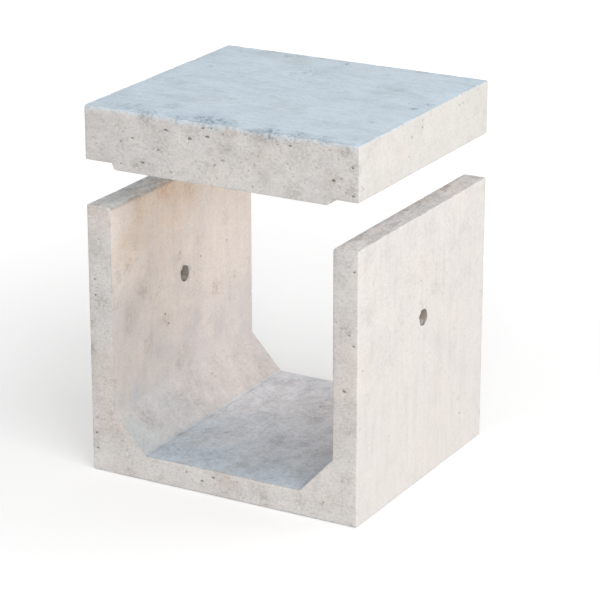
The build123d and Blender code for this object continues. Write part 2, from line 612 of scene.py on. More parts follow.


# %% [markdown]
# ## Air holes with a place of their own
# The larger air holes of the faces that show were measured on the real object and are listed, in millimetres:
# across and up on the fronts, all three coordinates on the skin, and the radius.

# %% Listed air holes
SLAB_FRONT_HOLES = [
    (-175, 647, 1.9), (-106, 671, 2.2), (-58, 662, 3.1), (-22, 670, 2.7), (-122, 633, 2.0), (142, 677, 2.2),
    (225, 628, 2.6), (262, 655, 1.7), (263, 606, 2.0), (-31, 685, 1.6), (-14, 686, 1.5), (-155, 605, 2.6),
]
CHANNEL_FRONT_HOLES = [
    (-262, 372, 1.9), (-261, 342, 1.8), (-266, 74, 2.1), (-264, 44, 2.0), (-74, 35, 1.5), (-41, 24, 2.4),
    (-18, 35, 2.3), (88, 42, 2.2), (266, 472, 1.7), (257, 356, 1.7), (266, 338, 1.9), (248, 252, 2.7),
]
SLAB_SKIN_HOLES = [
    (275, -14, 670, 2.0), (275, -55, 662, 1.9), (275, 132, 676, 1.8), (-60, 108, 696, 1.9),
    (-25, 128, 696, 1.8), (-5, 225, 696, 2.0), (221, 36, 696, 1.8),
]
CHANNEL_SKIN_HOLES = [
    (-225, -70, 256, 2.0), (-225, -60, 234, 2.2), (0, 118, 50, 2.0), (18, 64, 50, 1.8),
]
print("air holes by hand:", sum(map(len, (
    SLAB_FRONT_HOLES, CHANNEL_FRONT_HOLES, SLAB_SKIN_HOLES, CHANNEL_SKIN_HOLES))))

# %% [markdown]
# ## Scattered air holes
# The rest are scattered, many on the two ends and few on the long sides, which were cast against a
# smooth mould. Their sizes follow a bell curve of the logarithm, as bubbles do, so most are small. The
# random numbers start from a fixed seed, so every run gives the same castings.

# %% Air holes at random
SCATTERED_SLAB_END = 34
SCATTERED_CHANNEL_END = 110
SCATTERED_SLAB_SKIN = 40
SCATTERED_CHANNEL_SKIN = 90
USUAL_RADIUS, LARGEST_RADIUS, SPREAD = 1.05, 3.2, 0.38
WHOLE_PIT = 1.25


def air_hole_radius(chance):
    """A radius for a scattered air hole: mostly small, now and then a large one."""
    return min(LARGEST_RADIUS, USUAL_RADIUS * math.exp(chance.normal(0, SPREAD))) * MM


def in_metres(rows):
    """Listed rows in metres. What is listed is the dark middle, and the whole pit is wider."""
    return [(*(value * MM for value in row[:-1]), row[-1] * WHOLE_PIT * MM) for row in rows]


def end_pits(by_hand, low, high, count, chance):
    """Air holes of both ends, as (end, across, up, radius): listed in front, scattered on both."""
    pits = [(-1, *row) for row in in_metres(by_hand)]
    for end in (-1, 1):
        for _ in range(count):
            across, up = chance.uniform(-HALF_WIDTH, HALF_WIDTH), chance.uniform(low, high)
            pits.append((end, across, up, air_hole_radius(chance)))
    return pits


def skin_pits(by_hand, points, count, chance):
    """Air holes of the skin, as (across, along, up, radius): listed, then scattered."""
    picked = points[chance.integers(0, len(points), count)]
    along = chance.uniform(-HALF_LENGTH, HALF_LENGTH, count)
    scattered = [(across, y, up, air_hole_radius(chance)) for (across, up), y in zip(picked, along)]
    return in_metres(by_hand) + scattered


chance = np.random.default_rng(450)
cover_end_pits = end_pits(SLAB_FRONT_HOLES, SLAB_UNDERSIDE, SLAB_TOP, SCATTERED_SLAB_END, chance)
channel_end_pits = end_pits(CHANNEL_FRONT_HOLES, 0, WALL_TOP, SCATTERED_CHANNEL_END, chance)
cover_skin_pits = skin_pits(SLAB_SKIN_HOLES, cover_profile[0], SCATTERED_SLAB_SKIN, chance)
channel_skin_pits = skin_pits(CHANNEL_SKIN_HOLES, channel_profile[0], SCATTERED_CHANNEL_SKIN, chance)
print("air holes asked for:", sum(map(len, (
    cover_end_pits, channel_end_pits, cover_skin_pits, channel_skin_pits))))

# %% [markdown]
# ## The channel unit
# The channel stands with its front end towards the camera. Its casting replaces the imported node and rides
# on the same body. The mouths of its lifting holes break out a little when the plugs are pulled, so each has
# a few small chips.

# %% Make the channel unit
HOLE_PLACES = [(side * across, HOLE_HEIGHT) for side in (-1, 1) for across in (HALF_WIDTH, HALF_SPAN)]
MOUTH_CHIPS = 7
CHIP_SIZES = (2.5 * MM, 5.5 * MM)
CHIP_DEPTH = 0.3
CHANNEL_NIBBLES = 46


def made(name, casting, nibbles, chips):
    """Runs every step for one casting and gives its object."""
    skin_holes = add_skin(casting, chance)
    end_holes = sum(add_end(casting, end, chance) for end in (-1, 1))
    if casting.holes:
        for side in (-1, 1):
            add_hole(casting, side)
    print(name, "has", skin_holes, "air holes on the skin and", end_holes, "on the ends")
    return welded(name, casting, worn(casting, nibbles, chips, chance))


mouth_chance = np.random.default_rng(31)
mouth_chips = []
for across, up in HOLE_PLACES:
    outside = 1 if abs(across) == HALF_WIDTH else -1
    way = (outside * math.copysign(1, across), 0, 0)
    for angle in mouth_chance.uniform(0, 2 * math.pi, MOUTH_CHIPS):
        centre = (across, HOLE_RADIUS * math.cos(angle), up + HOLE_RADIUS * math.sin(angle))
        size = mouth_chance.uniform(*CHIP_SIZES)
        mouth_chips.append((centre, way, size, size * CHIP_DEPTH))

channel = made(
    "channel_casting",
    Casting(channel_profile, (channel_skin_pits, channel_end_pits), HOLE_PLACES),
    CHANNEL_NIBBLES,
    mouth_chips,
)
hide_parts("channel_unit")
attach(channel, "channel")

# %% [markdown]
# ## The cover slab
# The cover is made the same way. Its front top arris has one broad shallow chip, a hand's breadth
# right of the middle, and a few small ones.

# %% Make the cover slab
COVER_NIBBLES = 34
CHIPS_ACROSS = ((66, 30, 4.5), (92, 20, 3), (-28, 16, 2.5), (215, 14, 2.0))
FRONT_TOP = (0, -0.7, 0.7)
cover_chips = [
    ((across * MM, -HALF_LENGTH, SLAB_TOP), FRONT_TOP, radius * MM, depth * MM)
    for across, radius, depth in CHIPS_ACROSS
]
cover = made(
    "cover_casting",
    Casting(cover_profile, (cover_skin_pits, cover_end_pits)),
    COVER_NIBBLES,
    cover_chips,
)
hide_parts("cover_slab")
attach(cover, "cover")

# %% [markdown]
# ## Sums with nodes
# The finish is built from procedural nodes only. A small helper keeps that short: it makes one node,
# sets its values and links what is another node's output. The other helpers are sums made with it.

# %% Helpers for sums
class Sums:
    """A node tree, with short ways to work out values in it."""

    def __init__(self, owner):
        self.owner = owner
        owner.use_nodes = True
        self.tree = owner.node_tree
        self.tree.nodes.clear()

    def node(self, kind, inputs, settings=(), output=0):
        """One node. Inputs are by name or number, each a plain value or another node's output."""
        new = self.tree.nodes.new("ShaderNode" + kind)
        for name, value in dict(settings).items():
            setattr(new, name, value)
        for name, value in inputs.items():
            if isinstance(value, bpy.types.NodeSocket):
                self.tree.links.new(value, new.inputs[name])
            else:
                new.inputs[name].default_value = value
        return new.outputs[output] if new.outputs else None

    def maths(self, kind, first, second=0.0):
        """Plain arithmetic on two values."""
        return self.node("Math", {0: first, 1: second}, {"operation": kind})

    def added(self, first, second):
        """The sum of two values."""
        return self.maths("ADD", first, second)

    def less(self, first, second):
        """The first value less the second."""
        return self.maths("SUBTRACT", first, second)

    def size_of(self, value):
        """A value without its sign."""
        return self.maths("ABSOLUTE", value)

    def either(self, first, second):
        """The larger of two values."""
        return self.maths("MAXIMUM", first, second)

    def vectors(self, kind, first, second=(0.0, 0.0, 0.0)):
        """Plain arithmetic on two vectors."""
        return self.node("VectorMath", {0: first, 1: second}, {"operation": kind})

    def away_from(self, place, target):
        """How far a place is from a target, both vectors."""
        return self.node("VectorMath", {0: place, 1: target}, {"operation": "DISTANCE"}, 1)

    def times(self, *shares):
        """The product of several values."""
        product = shares[0]
        for share in shares[1:]:
            product = self.maths("MULTIPLY", product, share)
        return product

    def rise(self, value, low, high, start=0.0, end=1.0):
        """A smooth rise from start to end as the value goes from low to high."""
        inputs = {"Value": value, "From Min": low, "From Max": high, "To Min": start, "To Max": end}
        return self.node("MapRange", inputs, {"interpolation_type": "SMOOTHSTEP"})

    def apart(self, vector):
        """The three parts of a vector."""
        return self.node("SeparateXYZ", {0: vector}).node.outputs


# %% [markdown]
# ## A recipe for a finish
# A recipe keeps the colour so far, and each step of a finish goes onto it. There are two ways: laid over
# it, as paint, or multiplied with it, as a stain that lets it show. Noise decides where and how much.

# %% Helpers for a finish
class Recipe(Sums):
    """The node tree of a material or the world, and the colour so far."""

    def __init__(self, owner):
        super().__init__(owner)
        texture = self.tree.nodes.new("ShaderNodeTexCoord")
        self.place = texture.outputs["Object"]
        self.way = texture.outputs["Normal"]
        self.colour = None

    def stretched(self, scale):
        """The place with each direction scaled, so that a pattern can run in streaks."""
        return self.vectors("MULTIPLY", self.place, scale)

    def cloud(self, scale, detail=4.0, roughness=0.55, place=None, distortion=0.0):
        """Soft noise with this many waves in a metre."""
        inputs = {
            "Vector": place or self.place,
            "Scale": scale,
            "Detail": detail,
            "Roughness": roughness,
            "Distortion": distortion,
        }
        return self.node("TexNoise", inputs)

    def over(self, share, under, upper):
        """One colour laid over another by this share."""
        return self.node("Mix", {0: share, 6: under, 7: upper}, {"data_type": "RGBA"}, 2)

    def lay(self, share, upper):
        """Lays a colour over the one so far, by this share."""
        self.colour = self.over(share, self.colour, upper)

    def tint(self, share, tint):
        """Multiplies the colour so far by a tint, by this share, which lets it show."""
        settings = {"data_type": "RGBA", "blend_type": "MULTIPLY"}
        self.colour = self.node("Mix", {0: share, 6: self.colour, 7: (*tint, 1.0)}, settings, 2)

    def attribute(self, name):
        """A value that the mesh carries at each point."""
        return self.node("Attribute", {}, {"attribute_name": name}, 2)


def paint(code):
    """A colour from its six-digit code, turned from screen values to light values."""
    parts = [int(code[start:start + 2], 16) / 255 for start in (0, 2, 4)]
    light = [part / 12.92 if part <= 0.04045 else ((part + 0.055) / 1.055) ** 2.4 for part in parts]
    return (*light, 1.0)


print("mid grey in light values:", [round(part, 2) for part in paint("808080")])

# %% [markdown]
# ## Which face is which
# Cement paste is not one grey. Where it lies against the mould it dries warm. Much of the colour by face is
# painted light: the long sides are painted paler, and the faces that look up, the cover's top and the
# channel's floor, are painted bluer, as painted sky light. So the colour goes by where the surface faces, in
# the casting's own coordinates, with noise to break up every border.

# %% Masks by face
SQUARE_ON = (0.5, 0.85)


class Faces:
    """Masks from 0 to 1 for the ways a surface can face, and the place split in its parts."""

    def __init__(self, mix):
        self.x, self.y, self.z = mix.apart(mix.place)
        way_x, way_y, way_z = mix.apart(mix.way)
        wander = mix.rise(mix.cloud(85, 5.0, 0.65), 0.25, 0.75, -0.3, 0.3)
        self.up = mix.rise(mix.added(way_z, wander), 0.4, 0.85)
        self.side = mix.rise(mix.size_of(way_x), *SQUARE_ON)
        self.end = mix.rise(mix.size_of(way_y), *SQUARE_ON)
        self.off_middle = mix.size_of(self.x)


print("fully a side or an end within", round(math.degrees(math.acos(SQUARE_ON[1]))), "degrees of its axis")

# %% [markdown]
# ## Pores too fine to model
# The smallest air holes are under a millimetre, too fine for the mesh. A cell pattern gives one spot a
# cell, and a random value for each cell leaves most of them out. Noise bends the spots out of round.

# %% Pores
LYING = (0.75, 0.75, 1.0)
SMALL_PORES, LARGE_PORES = (190, 0.88), (75, 0.93)


def pore_mask(mix, cells, rarity):
    """Small ragged spots, in this many cells to the metre, all but a few of which stay empty."""
    ragged = mix.node("TexNoise", {"Scale": cells * 2.2, "Detail": 2.0}, (), "Color")
    shift = mix.node("VectorMath", {0: ragged, 3: 0.8 / cells}, {"operation": "SCALE"})
    place = mix.vectors("ADD", mix.stretched(LYING), shift)
    spots = mix.node("TexVoronoi", {"Vector": place, "Scale": cells, "Randomness": 1.0}).node
    chosen = mix.rise(mix.apart(spots.outputs["Color"])[0], rarity, rarity + 0.02)
    return mix.times(chosen, mix.rise(spots.outputs["Distance"], 0.22, 0.08))


print("one pore cell:", round(1000 / SMALL_PORES[0], 1), "mm and", round(1000 / LARGE_PORES[0], 1), "mm wide")

# %% [markdown]
# ## The grain of concrete
# Five patterns, one over another, make the look of plain concrete: broad warm and cool clouds from uneven
# drying, patches of tone in three sizes, dirt that gathers where two noises are both high, pores too fine to
# model, darkened as painted shade, and sand grain. Each multiplies the colour below, so it works on any face.
# Patches, dirt and pores lie wider than they are high, because concrete settles in layers.

# %% Mottling and grain
WARM = (1.03, 0.98, 0.95)
COOL = (0.972, 0.985, 0.998)
DEEPER = (0.83, 0.822, 0.818)
PALER = (1.09, 1.085, 1.075)
DIRT = (0.74, 0.725, 0.71)
# Painted shade: pores too fine to model are darkened.
PORE_PAINTED_SHADE = (0.62, 0.6, 0.58)
SWAY_REACH = 0.24
TONE_PATCHES = ((18, 0.75, 0.24), (62, 0.7, 0.3), (230, 0.95, 0.2))


def sway(mix, pattern, share, reach=SWAY_REACH):
    """Tints the colour deeper where the pattern is high and paler where it is low."""
    mix.tint(mix.times(share, mix.rise(pattern, 0.49, 0.49 + reach)), DEEPER)
    mix.tint(mix.times(share, mix.rise(pattern, 0.51, 0.51 - reach)), PALER)


def mottle(mix, strength):
    """Lays the patterns of plain concrete over the colour, and gives the pores, for the bump."""
    lying = mix.stretched(LYING)
    drying = mix.cloud(7, 4.0, 0.6, distortion=0.5)
    mix.tint(mix.times(strength, mix.rise(drying, 0.5, 0.72)), WARM)
    mix.tint(mix.times(strength, mix.rise(drying, 0.5, 0.28, 0.0, 0.6)), COOL)
    for waves, share, reach in TONE_PATCHES:
        sway(mix, mix.cloud(waves, 5.0, 0.65, lying, 0.3), mix.times(strength, share), reach)
    gather = mix.rise(mix.cloud(13, 4.0, 0.65, distortion=0.8), 0.46, 0.66)
    crumb = mix.rise(mix.cloud(140, 3.0, 0.75, lying), 0.54, 0.68)
    mix.tint(mix.times(strength, gather, crumb), DIRT)
    pores = mix.either(pore_mask(mix, *SMALL_PORES), pore_mask(mix, *LARGE_PORES))
    # Pores darkened as painted shade.
    mix.tint(mix.times(strength, pores, 0.8), PORE_PAINTED_SHADE)
    sway(mix, mix.cloud(430, 3.0, 0.75), mix.added(0.15, mix.times(strength, 0.45)))
    return pores


print("tone patches, in waves a metre:", [waves for waves, _, _ in TONE_PATCHES])

# %% [markdown]
# ## Stains, smudges and hairlines
# Some marks have their own place: a smudge from dirty gloves, a shrinkage crack as thin as a hair.
# They are painted by how far a point is from a place, with the distance disturbed by noise. The marks
# of one face are also laid on the opposite one, turned half round, because no view shows both.

# %% Marks at a place
def turned(mix, mark_side):
    """The place, turned half round on the other half of the casting, so that it has the marks too."""
    half = mix.maths("SIGN", mark_side)
    both = mix.node("CombineXYZ", {0: half, 1: half, 2: 1.0})
    return mix.vectors("MULTIPLY", mix.place, both)


SMUDGE_WANDER = 40 * MM
HAIR_WANDER = 2 * MM


def on_face(axis, level, rows):
    """Marks that all lie on one flat face, with the coordinate that they share put in."""
    number = "xyz".index(axis)
    return [(*row[:number], level, *row[number:]) for row in rows]


def smudge(mix, tint, marks, place=None):
    """Lays on ragged smudges, each (x, y, z, radius, share), all but the share in millimetres."""
    ragged = mix.node("TexNoise", {"Scale": 60.0, "Detail": 5.0, "Roughness": 0.7}, (), "Color")
    shift = mix.vectors("SUBTRACT", ragged, (0.5, 0.5, 0.5))
    shift = mix.node("VectorMath", {0: shift, 3: SMUDGE_WANDER}, {"operation": "SCALE"})
    place = mix.vectors("ADD", place or mix.place, shift)
    total = 0.0
    for x, y, z, radius, share in marks:
        away = mix.away_from(place, (x * MM, y * MM, z * MM))
        total = mix.either(mix.rise(away, radius * MM, 0.2 * radius * MM, 0.0, share), total)
    crumb = mix.rise(mix.cloud(140, 4.0, 0.75), 0.44, 0.58, 0.15, 1.0)
    mix.tint(mix.times(total, crumb), tint)


def hairline(mix, faces, across, low, high):
    """Lays on a hair-thin upright crack in the front end: its place across and two heights, in mm."""
    wander = mix.rise(mix.cloud(70, 3.0), 0.2, 0.8, -HAIR_WANDER, HAIR_WANDER)
    course = mix.added(wander, across * MM)
    line = mix.rise(mix.size_of(mix.less(faces.x, course)), 0.9 * MM, 0.2 * MM)
    front = mix.rise(faces.y, -HALF_LENGTH + 6 * MM, -HALF_LENGTH + 3 * MM)
    above = mix.rise(faces.z, (low - 3) * MM, low * MM)
    below = mix.rise(faces.z, (high + 3) * MM, high * MM)
    mix.tint(mix.times(line, front, above, below, 0.7), DIRT)


print("smudges stray by", round(SMUDGE_WANDER / 2 / MM), "mm, hairlines by", round(HAIR_WANDER / MM), "mm")

# %% [markdown]
# ## Closing a finish
# Arrises rub pale, and the bottom of an air hole is painted dark, as painted shade. The shader is matte, and
# its bump is only for what is too fine to be in the mesh: sand grain, pores and the soft waves of paste.

# %% Close a finish
# Painted shade: the bottom of an air hole is painted darker.
PIT_PAINTED_SHADE = (0.5, 0.48, 0.46)
RUBBED = (1.05, 1.048, 1.045)
BUMP_DEPTH = 0.5 * MM


def finished(mix, pores, roughness):
    """Closes the recipe with a matte shader whose bump stands in for sand and paste."""
    rubbed = mix.rise(mix.cloud(60, 4.0), 0.35, 0.65, 0.2, 1.0)
    mix.tint(mix.times(mix.attribute("exposed"), rubbed), RUBBED)
    mix.tint(mix.rise(mix.attribute("bitten"), 0.1, 0.8, 0.0, 0.5), DEEPER)
    # Painted shade: the bottom of an air hole is painted darker.
    mix.tint(mix.rise(mix.attribute("hollow"), 0.2, 0.9), PIT_PAINTED_SHADE)
    sand = mix.rise(mix.cloud(750, 3.0, 0.7), 0.3, 0.7, 0.0, 0.22)
    paste = mix.rise(mix.cloud(120, 4.0, 0.6), 0.3, 0.7, 0.0, 0.45)
    height = mix.less(mix.added(sand, paste), mix.times(pores, 0.8))
    bump = mix.node("Bump", {"Strength": 1.0, "Distance": BUMP_DEPTH, "Height": height})
    inputs = {"Base Color": mix.colour, "Roughness": roughness, "Specular IOR Level": 0.3, "Normal": bump}
    mix.node("OutputMaterial", {"Surface": mix.node("BsdfPrincipled", inputs)})
    return mix.owner


print("bump:", round(BUMP_DEPTH / MM, 1), "mm deep at most")

# %% [markdown]
# ## The channel's finish
# The outer sides were cast against a smooth mould, and are painted the palest, as painted light. The ends are
# warm grey, painted paler near the floor as painted light that offsets the shade there. Inside, the walls are
# painted pale and warm, as painted light that offsets the shade in the waterway, with a tan bloom near the
# top, which fades to a cooler grey towards the front end, and darker towards the haunches as painted shade.
# The floor is painted blue-grey, as painted sky light, with painted shade in its creases. The lifting holes
# are painted dark, as painted shade.

# %% Colours of the channel
ROUGH = 0.88
MOULDED = paint("C9C5C2")
# Painted light: the ends are painted paler near the floor, to offset the shade there.
ENDS_FOOT_PAINTED_LIGHT = paint("CFCBC8")
# Painted light: the long outer sides are painted paler.
SIDE_PAINTED_LIGHT = paint("D8D3CF")
# Painted light: the inner walls are painted pale and warm, to offset the shade in the waterway.
INNER_PAINTED_LIGHT = paint("F2E7DF")
# Painted shade: the low inner walls are painted darker, where the haunches face the lamps.
INNER_FOOT_PAINTED_SHADE = paint("E4DDDA")
TAN = paint("EEDAC6")
FRONT_STRIP = paint("CCC5C0")
# Painted shade: the front foot of the inner walls is painted darker, where the haunch faces the lamps.
FRONT_FOOT_PAINTED_SHADE = paint("BFC5C8")
# Painted sky light: the floor is painted blue-grey, and paler towards the back as painted light.
FLOOR_FRONT_PAINTED_SKY_LIGHT = paint("C1CCD6")
FLOOR_BACK_PAINTED_SKY_LIGHT = paint("EFF2F8")
# Painted light: the wall heads are painted pale, to offset the shade under the cover.
LEFT_HEAD_PAINTED_LIGHT = paint("DCE0E1")
RIGHT_HEAD_PAINTED_LIGHT = paint("DDDAD9")
# Painted shade: the lifting holes are painted dark.
HOLE_PAINTED_SHADE = paint("A3988F")
# Painted shade: the crease at each haunch foot is darkened.
CREASE_PAINTED_SHADE = (0.87, 0.868, 0.865)
TAN_TINT = (0.93, 0.82, 0.7)
INNER_TINT = (0.7, 0.65, 0.6)
FLOOR_TINT = (0.7, 0.72, 0.74)
END_TINT = (0.6, 0.57, 0.55)
SIDE_TINT = (0.8, 0.8, 0.8)
print("channel, side colour in light values:", [round(part, 2) for part in SIDE_PAINTED_LIGHT[:3]])

# %% [markdown]
# ## Marks on the channel
# The smudges that show on the real casting, each with its place and radius in millimetres and its share.
# The inner ones that aren't at 225 mm across lie on the haunch.

# %% Marks of the channel
INNER_MARKS = [
    (-225, -195, 387, 22, 0.6), (-225, 108, 253, 20, 0.8), (-225, -17, 354, 16, 0.8),
    (-225, -147, 324, 26, 0.6), (-225, 183, 257, 14, 0.7), (-225, -232, 375, 18, 0.6),
    (-225, -70, 245, 22, 0.6), (-225, -127, 213, 30, 0.5), (-225, -23, 149, 26, 0.6),
    (-225, 55, 365, 24, 0.4), (-225, -193, 282, 36, 0.5), (-200, -60, 90, 28, 0.5),
    (-225, -100, 300, 20, 0.5), (-225, 150, 385, 20, 0.4), (-205, -180, 95, 30, 0.5),
]
TAN_MARKS = on_face("x", -225, [
    (-150, 512, 40, 0.8), (-65, 500, 44, 1.0), (22, 476, 36, 0.9), (-158, 470, 30, 0.8),
    (112, 452, 30, 0.5), (-215, 440, 30, 0.5),
])
FLOOR_MARKS = on_face("z", 50, [
    (60, -150, 48, 0.35), (140, -60, 54, 0.6), (-60, -190, 36, 0.6), (20, 60, 30, 0.6),
    (90, 130, 28, 0.6), (-120, -200, 46, 0.8), (-60, 30, 50, 0.5), (0, -60, 44, 0.5),
])
END_MARKS = on_face("y", -250, [
    (-269, 289, 16, 0.8), (-273, 237, 14, 0.8), (-223, 175, 14, 0.8), (-201, 270, 20, 0.5),
    (-257, 140, 24, 0.4), (-268, 50, 18, 0.6), (90, 15, 18, 0.8), (250, 366, 20, 0.6),
    (239, 454, 20, 0.5), (261, 183, 20, 0.5), (-130, 12, 18, 0.4), (161, 30, 20, 0.5),
    (-245, 330, 30, 0.5), (255, 90, 20, 0.5), (-255, 430, 24, 0.4),
])
SIDE_MARKS = on_face("x", 275, [
    (20, 473, 34, 0.5), (-209, 489, 30, 0.5), (-150, 485, 24, 0.4), (44, 359, 28, 0.6),
    (176, 352, 28, 0.5), (-7, 344, 16, 0.8), (-93, 326, 32, 0.6), (-207, 387, 32, 0.5),
    (77, 349, 22, 0.5), (-167, 270, 34, 0.4), (-60, 500, 30, 0.4), (164, 433, 34, 0.4),
    (60, 240, 40, 0.3), (-204, 226, 30, 0.3),
])
print("channel marks:", sum(map(len, (INNER_MARKS, TAN_MARKS, FLOOR_MARKS, END_MARKS, SIDE_MARKS))))

# %% [markdown]
# ## The lining of the waterway
# Height and the distance from the front end decide the colour inside, with one broad noise added to both, so
# that no border runs straight. The walls are painted pale, as painted light that offsets the shade in the
# waterway, and darker low down, as painted shade where the haunches face the lamps. The floor is painted
# blue-grey, as painted sky light, and paler towards the back, as painted light.

# %% Colour of the lining
def lining_colour(mix, faces):
    """The colour inside: pale walls as painted light, tan at the top, greyer to the front, darker down as
    painted shade, a blue-grey floor as painted sky light.
    """
    wander = mix.rise(mix.cloud(9, 5.0, 0.6, distortion=0.5), 0.25, 0.75, -1.0, 1.0)
    height = mix.added(faces.z, mix.times(wander, 60 * MM))
    # Painted light and shade: pale walls that offset the shade inside, darker low down where the haunches
    # face the lamps.
    lining = mix.over(mix.rise(height, 0.3, 0.12), INNER_PAINTED_LIGHT, INNER_FOOT_PAINTED_SHADE)
    from_front = mix.added(faces.y, mix.times(wander, 50 * MM))
    along = mix.times(mix.rise(faces.y, 0.2, -0.1, 0.1), mix.rise(from_front, -0.25, -0.19, 0.1))
    bloom = mix.times(mix.rise(height, 0.36, 0.5), along)
    lining = mix.over(bloom, lining, TAN)
    # Towards the front the walls turn greyer, and at the foot darker, as painted shade.
    front_strip = mix.over(mix.rise(height, 0.1, 0.22), FRONT_FOOT_PAINTED_SHADE, FRONT_STRIP)
    lower = mix.rise(height, 0.45, 0.3, 0.35, 0.85)
    greyed = mix.times(mix.rise(from_front, 0.12, -0.25), lower)
    lining = mix.over(greyed, lining, front_strip)
    # Painted sky light: the floor is painted blue-grey, and paler towards the back as painted light.
    bed = mix.over(mix.rise(from_front, -0.22, 0.12), FLOOR_FRONT_PAINTED_SKY_LIGHT, FLOOR_BACK_PAINTED_SKY_LIGHT)
    on_bed = mix.rise(faces.z, FLOOR_THICKNESS + 2.5 * MM, FLOOR_THICKNESS)
    return mix.over(on_bed, lining, bed)


print("tan bloom in light values:", [round(part, 2) for part in TAN[:3]])

# %% [markdown]
# ## Wear, dirt and painted shade of the channel
# The wall heads and the floor are dragged along the unit by the trowel and by water, so their patterns are
# stretched that way. Dirt sits on the inner arrises, with painted shade that dims the light they catch.
# Painted shade darkens the creases and the lifting holes, and there is a rubbed ring round each mouth.

# %% Patterns, marks, grime and painted shade of the channel
DRAG_MARKS = ((60, 5.0, 0.3, 0.45, 0.18), (150, 4.0, 0.35, 0.22, 0.16))
HAIRLINES = ((80, 0, 38), (245, 24, 90))


def bed_patterns(mix, head, inner, bed):
    """Lays on drag marks on the wall heads and the floor, and silt on the floor."""
    for waves, detail, stretch, bed_share, reach in DRAG_MARKS:
        drag = mix.cloud(waves, detail, 0.7, mix.stretched((1.0, stretch, 1.0)))
        sway(mix, drag, mix.either(head, mix.times(bed, bed_share)), reach)
    silt = mix.cloud(24, 5.0, 0.7, distortion=0.6)
    settled = mix.added(mix.times(inner, 0.1), mix.times(bed, 0.5))
    sway(mix, silt, settled, 0.16)


def channel_marks(mix, faces):
    """Lays on the smudges of every face and the hairlines of the front end."""
    end_place = turned(mix, mix.times(faces.y, -1.0))
    inner_place = turned(mix, mix.times(faces.x, -1.0))
    smudge(mix, TAN_TINT, TAN_MARKS, inner_place)
    smudge(mix, INNER_TINT, INNER_MARKS, inner_place)
    smudge(mix, FLOOR_TINT, FLOOR_MARKS)
    smudge(mix, END_TINT, END_MARKS, end_place)
    smudge(mix, SIDE_TINT, SIDE_MARKS, turned(mix, faces.x))
    for line in HAIRLINES:
        hairline(mix, faces, *line)


def hole_mask(mix, outer, inner):
    """1 in the lifting holes and up to the inner distance from their edge, 0 past the outer one."""
    away = mix.away_from(mix.stretched((0.0, 1.0, 1.0)), (0.0, 0.0, HOLE_HEIGHT))
    return mix.rise(away, HOLE_RADIUS + outer, HOLE_RADIUS + inner)


def channel_grime(mix, faces, inner):
    """Lays on dirt and painted shade on the inner arrises, painted shade in the creases and in the holes, and
    rubbed rings round the holes.
    """
    # Dirt on the inner arrises, darkened further as painted shade that dims the light line the rounded arris
    # catches.
    inner_arris = mix.rise(faces.off_middle, HALF_SPAN + 8 * MM, HALF_SPAN + 1 * MM)
    grime = mix.rise(mix.cloud(30, 5.0, 0.7), 0.3, 0.6, 0.4, 0.9)
    mix.tint(mix.times(mix.attribute("exposed"), inner_arris, grime), DIRT)
    # Painted shade along the crease at each haunch foot, which darkens the fillet where it catches the light.
    to_crease = mix.size_of(mix.less(faces.off_middle, HAUNCH_FOOT))
    low_down = mix.rise(faces.z, FLOOR_THICKNESS + 9 * MM, FLOOR_THICKNESS)
    crease_shade = mix.times(mix.rise(to_crease, 10 * MM, 1 * MM), low_down)
    mix.tint(mix.times(inner, crease_shade, grime), CREASE_PAINTED_SHADE)
    collar = hole_mask(mix, 4.5 * MM, 1.0 * MM)
    mix.tint(mix.times(faces.side, collar, grime), RUBBED)
    # Painted shade: the lifting holes are painted dark.
    mix.lay(hole_mask(mix, 0.8 * MM, 0.2 * MM), HOLE_PAINTED_SHADE)


print("hairlines in the front end:", len(HAIRLINES))

# %% [markdown]
# ## The channel's finish put together
# Masks say which face is which and the colours go on in order. The patterns of plain concrete lie over all of
# them, quieter on the smooth sides than on the ends. Marks and dirt come last, as on the real one, with the
# painted shade of the inner arrises, the creases and the holes.

# %% Finish of the channel
def channel_finish():
    """The channel's concrete: painted pale outside and pale and warm inside, as painted light, and blue-grey
    on the floor, as painted sky light.
    """
    mix = Recipe(bpy.data.materials.new("channel concrete"))
    faces = Faces(mix)
    not_end = mix.less(1.0, faces.end)
    through = mix.rise(faces.off_middle, HALF_SPAN + 10 * MM, HALF_WIDTH - 10 * MM)
    outer = mix.times(faces.side, through)
    inner = mix.times(not_end, mix.rise(faces.off_middle, HALF_SPAN + 2 * MM, HALF_SPAN))
    # Painted light: the ends are painted paler near the floor, to offset the shade there.
    low = mix.added(faces.z, mix.rise(mix.cloud(14, 4.0), 0.2, 0.8, -0.04, 0.04))
    mix.colour = mix.over(mix.rise(low, 0.2, 0.02), MOULDED, ENDS_FOOT_PAINTED_LIGHT)
    # Painted light: the long outer sides are painted paler.
    mix.lay(outer, SIDE_PAINTED_LIGHT)
    mix.lay(inner, lining_colour(mix, faces))
    # Painted light: the wall heads are painted pale, to offset the shade under the cover.
    head = mix.times(faces.up, mix.rise(faces.z, WALL_TOP - 12 * MM, WALL_TOP - 5 * MM))
    mix.lay(head, mix.over(mix.rise(faces.x, -0.1, 0.1), LEFT_HEAD_PAINTED_LIGHT, RIGHT_HEAD_PAINTED_LIGHT))
    cleaner = mix.rise(faces.z, 0.4, 0.15, 0.5, 0.68)
    quieter = mix.added(mix.times(outer, cleaner), mix.times(inner, faces.side, 0.5))
    pores = mottle(mix, mix.less(1.0, quieter))
    streaks = mix.cloud(70, 4.0, 0.6, mix.stretched((1.0, 1.0, 0.12)))
    sway(mix, streaks, mix.times(faces.side, 0.3))
    bed_patterns(mix, head, inner, mix.times(inner, faces.up))
    channel_marks(mix, faces)
    channel_grime(mix, faces, inner)
    return finished(mix, pores, ROUGH)


channel.data.materials.append(channel_finish())
print("channel nodes:", len(channel.active_material.node_tree.nodes))

